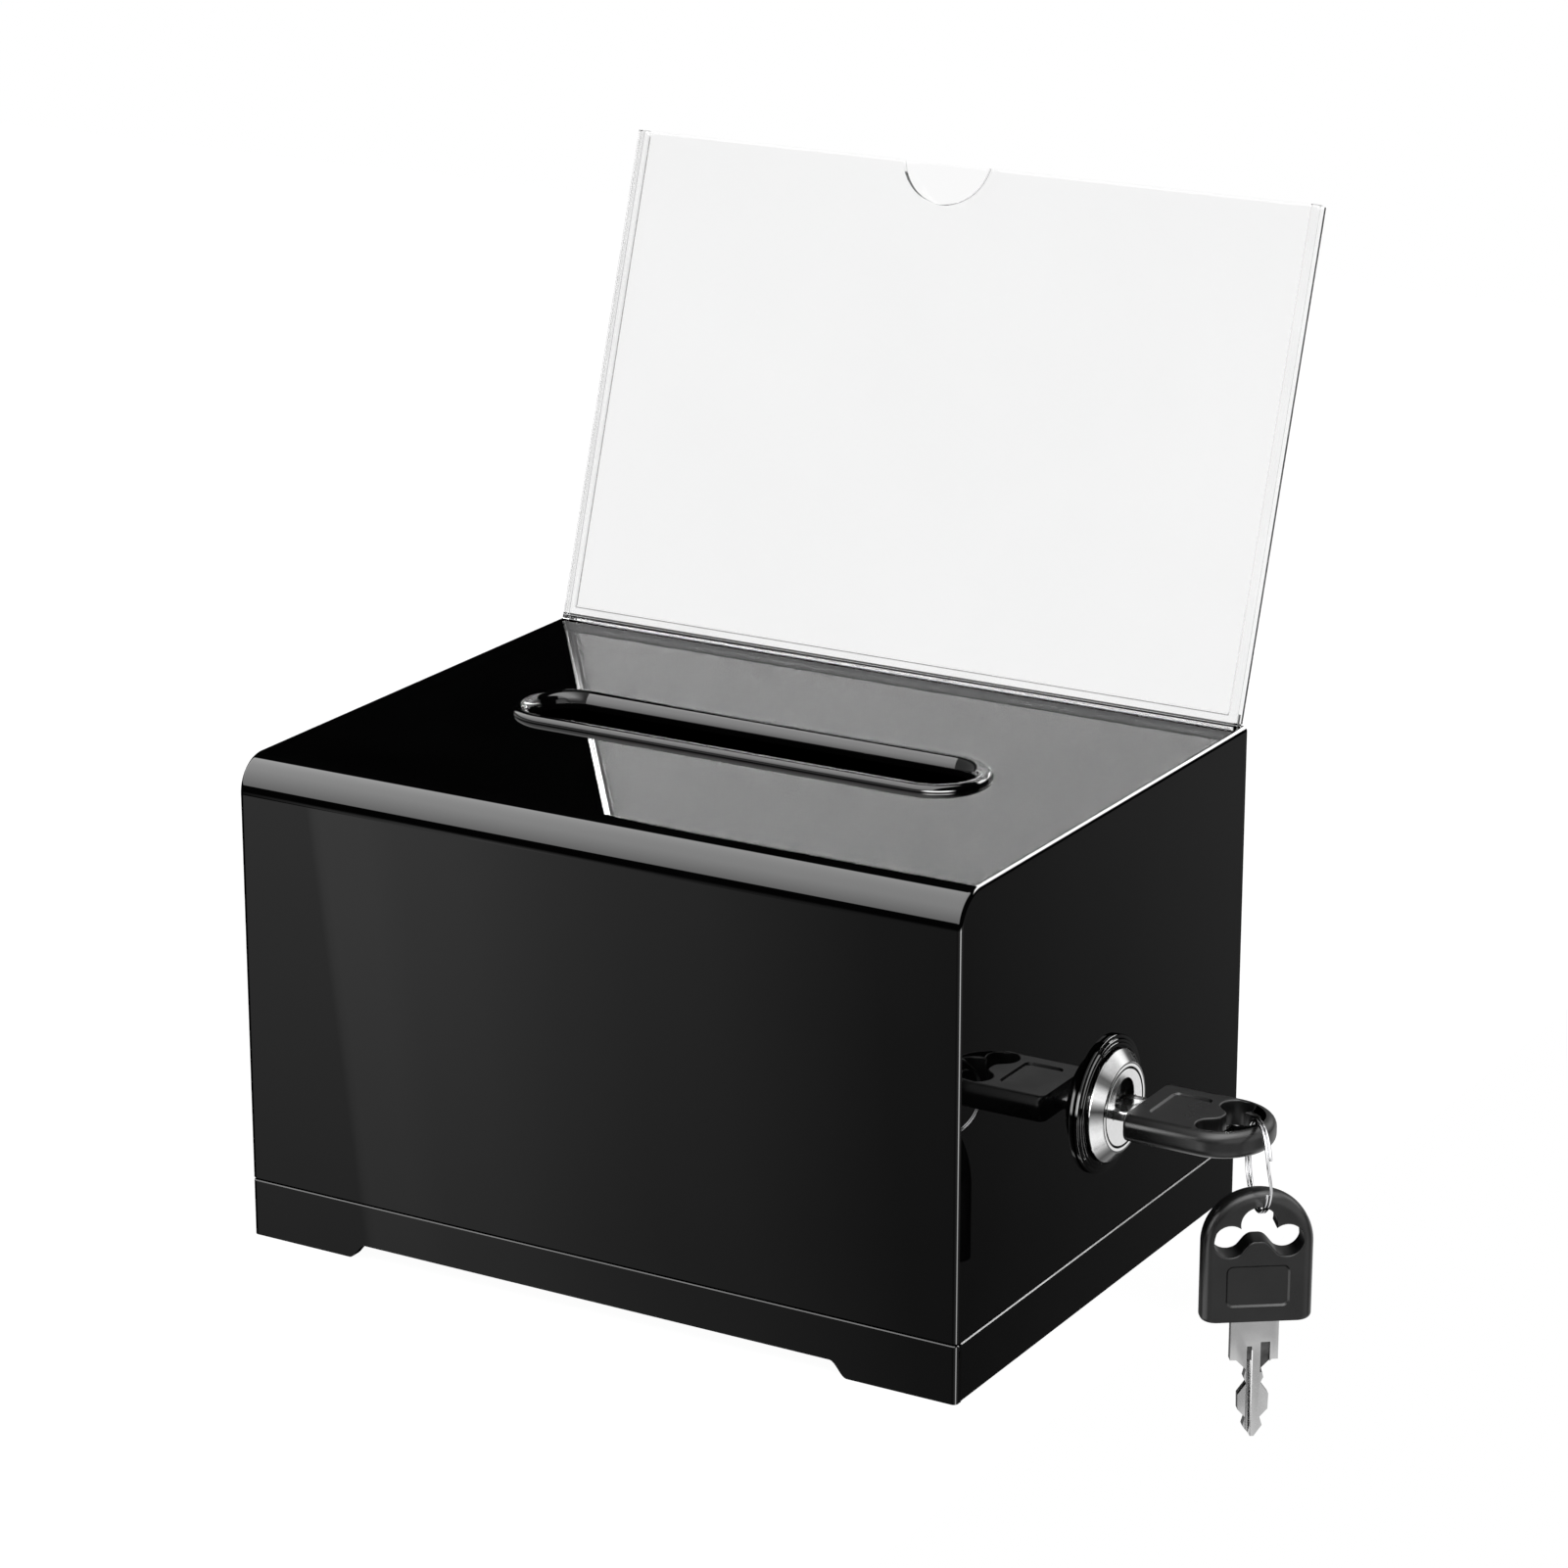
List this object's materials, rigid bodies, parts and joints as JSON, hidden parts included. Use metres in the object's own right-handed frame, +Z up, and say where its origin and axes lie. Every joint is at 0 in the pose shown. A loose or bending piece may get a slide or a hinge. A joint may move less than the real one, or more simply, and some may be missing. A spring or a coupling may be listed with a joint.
{
  "type": "suggestion box",
  "caption": "Black acrylic suggestion box with a raised posting slot, a clear leaning sign holder at the back, a cam lock in the side and keys on a split ring.",
  "frame": {"origin": "middle of the underside of the left plinth board, on the plane that the box stands on", "axes": "+Z up, +Y from the front to the sign holder at the back, +X towards the lock and its keys"},
  "size_m": [0.1974, 0.146, 0.2131],
  "materials": {
    "black_acrylic": "polished cast acrylic",
    "clear_acrylic": "polished clear acrylic",
    "black_plastic": "moulded, satin",
    "bright_plating": "bright plated",
    "nickel_silver": "satin",
    "zinc_plating": "zinc plated",
    "brass": "punched"
  },
  "bodies": {
    "base": {"plinth_left": "black_acrylic", "plinth_right": "black_acrylic", "plinth_front": "black_acrylic", "plinth_back": "black_acrylic", "base_plate": "black_acrylic", "locating_plate": "black_acrylic", "catch_bracket": "zinc_plating", "catch_screw_left": "zinc_plating", "catch_screw_right": "zinc_plating"},
    "casing": {"front_top_panel": "black_acrylic", "side_panel_left": "black_acrylic", "side_panel_right": "black_acrylic", "back_panel": "black_acrylic", "slot_rim": "black_acrylic", "lock_washer": "black_plastic", "lock_barrel": "bright_plating", "lock_nut": "zinc_plating"},
    "plug": {"lock_plug": "bright_plating", "wafer_1": "brass", "wafer_2": "brass", "wafer_3": "brass", "wafer_4": "brass", "cam": "zinc_plating", "cam_washer": "zinc_plating", "cam_screw": "zinc_plating"},
    "key": {"key_head": "black_plastic", "key_blade": "nickel_silver"},
    "ring": {"key_ring": "nickel_silver"},
    "spare_key": {"spare_key_head": "black_plastic", "spare_key_blade": "nickel_silver"},
    "sign_holder": {"sign_front_sheet": "clear_acrylic", "sign_back_sheet": "clear_acrylic", "sign_strip_left": "clear_acrylic", "sign_strip_right": "clear_acrylic", "sign_bottom_strip": "clear_acrylic"}
  },
  "joints": [
    {"name": "casing_lift", "type": "slide", "parent": "base", "child": "casing", "axis": [0, 0, 1], "range_m": [0, 0.05]},
    {"name": "plug_turn", "type": "hinge", "parent": "casing", "child": "plug", "pos_m": [0.154, 0, 0.0386], "axis": [1, 0, 0], "range_deg": [-90, 0]},
    {"name": "key_pull", "type": "slide", "parent": "plug", "child": "key", "axis": [1, 0, 0], "range_m": [0, 0.03]},
    {"name": "ring_swing", "type": "hinge", "parent": "key", "child": "ring", "pos_m": [0.18728, -0.00349, 0.03419], "axis": [-0.7314, -0.682, 0], "range_deg": [-20, 20]},
    {"name": "spare_swing", "type": "hinge", "parent": "ring", "child": "spare_key", "pos_m": [0.18728, -0.00349, 0.02579], "axis": [0.682, -0.7314, 0], "range_deg": [-15, 15]},
    {"name": "sign_lift", "type": "slide", "parent": "casing", "child": "sign_holder", "axis": [0, 0.309, 0.9511], "range_m": [0, 0.03]}
  ]
}
